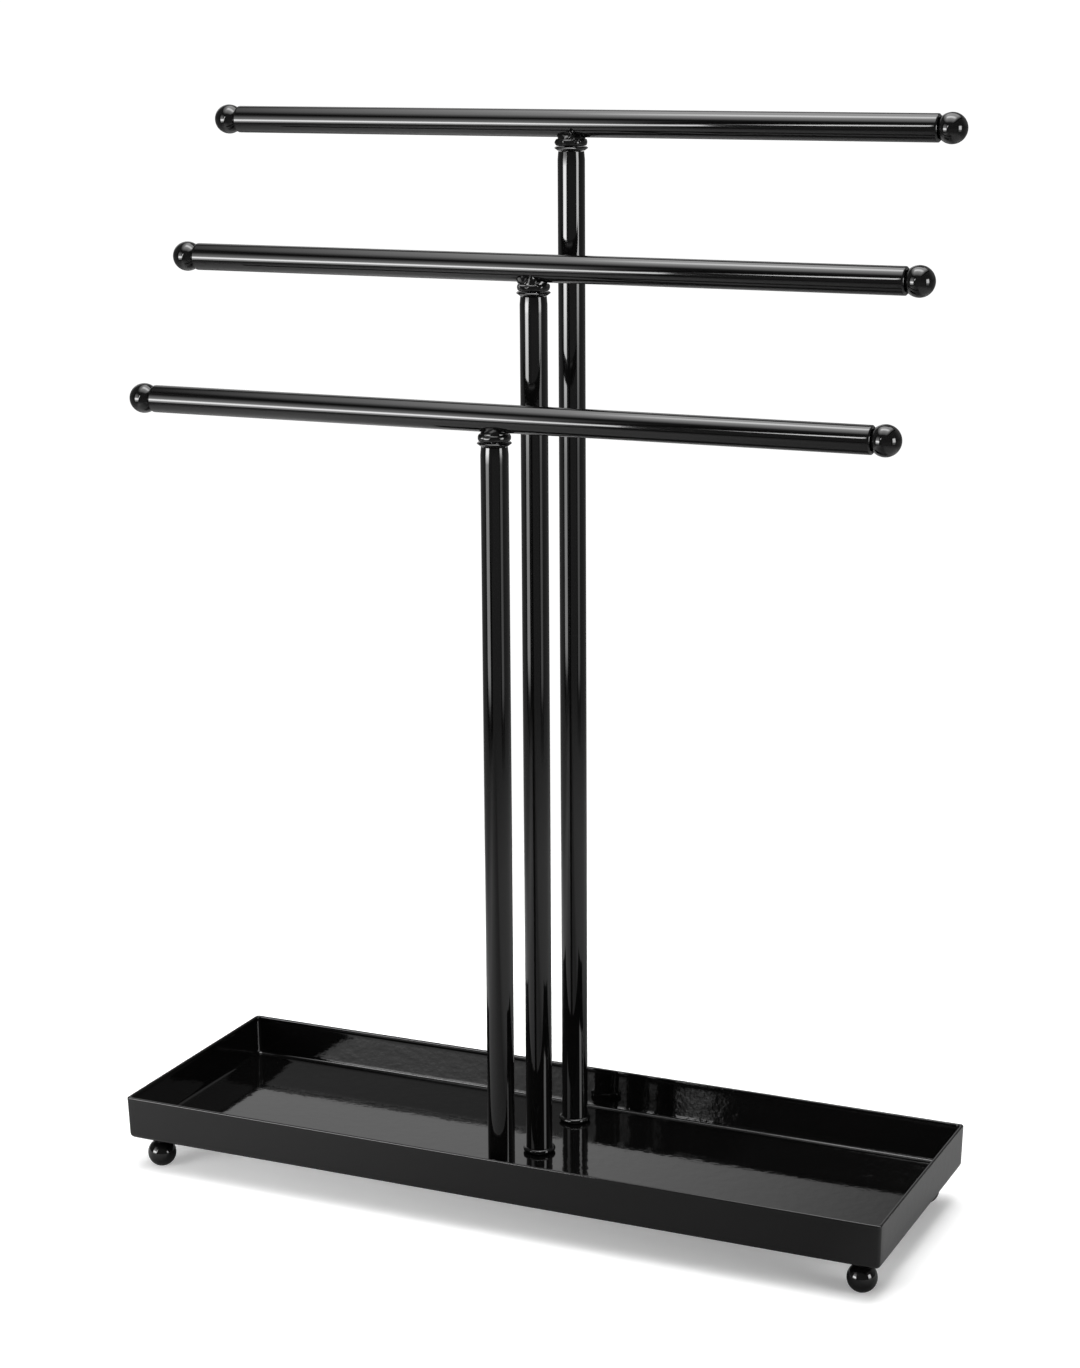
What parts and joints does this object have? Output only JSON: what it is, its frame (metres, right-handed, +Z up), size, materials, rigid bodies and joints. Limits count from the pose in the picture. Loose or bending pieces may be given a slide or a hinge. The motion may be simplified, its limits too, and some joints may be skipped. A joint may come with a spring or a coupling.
{
  "type": "valet stand",
  "caption": "Table-top valet stand: level cross bars with ball ends swivel on posts of rising height over a shallow steel tray on ball feet.",
  "frame": {"origin": "on the ground, under the middle of the tray", "axes": "+Z up, +X along the tray and the bars, +Y from the shortest post towards the tallest"},
  "size_m": [0.305, 0.102, 0.4041],
  "materials": {
    "tray_enamel": "gloss black enamel with a slight orange peel",
    "post_enamel": "gloss black enamel",
    "bar_enamel": "gloss black enamel",
    "ball_enamel": "gloss black enamel",
    "foot_enamel": "gloss black enamel",
    "collar_enamel": "gloss black enamel over weld beads",
    "bright_steel": "turned",
    "zinc_plate": "zinc plated"
  },
  "bodies": {
    "base": {"tray": "tray_enamel", "foot_ball_front_left": "foot_enamel", "foot_ball_front_right": "foot_enamel", "foot_ball_back_left": "foot_enamel", "foot_ball_back_right": "foot_enamel", "foot_stem_front_left": "bright_steel", "foot_stem_front_right": "bright_steel", "foot_stem_back_left": "bright_steel", "foot_stem_back_right": "bright_steel", "front_post": "post_enamel", "middle_post": "post_enamel", "back_post": "post_enamel", "front_base_ring": "collar_enamel", "middle_base_ring": "collar_enamel", "back_base_ring": "collar_enamel", "front_base_plug": "bright_steel", "middle_base_plug": "bright_steel", "back_base_plug": "bright_steel", "front_fixing_screw": "zinc_plate", "middle_fixing_screw": "zinc_plate", "back_fixing_screw": "zinc_plate", "front_washer": "zinc_plate", "middle_washer": "zinc_plate", "back_washer": "zinc_plate", "front_post_cap": "collar_enamel", "middle_post_cap": "collar_enamel", "back_post_cap": "collar_enamel"},
    "front_bar_assembly": {"front_bar": "bar_enamel", "front_left_ball": "ball_enamel", "front_right_ball": "ball_enamel", "front_collar": "collar_enamel", "front_swivel_stud": "bright_steel"},
    "middle_bar_assembly": {"middle_bar": "bar_enamel", "middle_left_ball": "ball_enamel", "middle_right_ball": "ball_enamel", "middle_collar": "collar_enamel", "middle_swivel_stud": "bright_steel"},
    "back_bar_assembly": {"back_bar": "bar_enamel", "back_left_ball": "ball_enamel", "back_right_ball": "ball_enamel", "back_collar": "collar_enamel", "back_swivel_stud": "bright_steel"}
  },
  "joints": [
    {"name": "front_bar_swivel", "type": "hinge", "parent": "base", "child": "front_bar_assembly", "pos_m": [0, -0.034, 0.3], "axis": [0, 0, 1], "range_deg": [-70, 70]},
    {"name": "middle_bar_swivel", "type": "hinge", "parent": "base", "child": "middle_bar_assembly", "pos_m": [0, 0, 0.3493], "axis": [0, 0, 1], "range_deg": [-70, 70]},
    {"name": "back_bar_swivel", "type": "hinge", "parent": "base", "child": "back_bar_assembly", "pos_m": [0, 0.034, 0.3986], "axis": [0, 0, 1], "continuous": true}
  ]
}
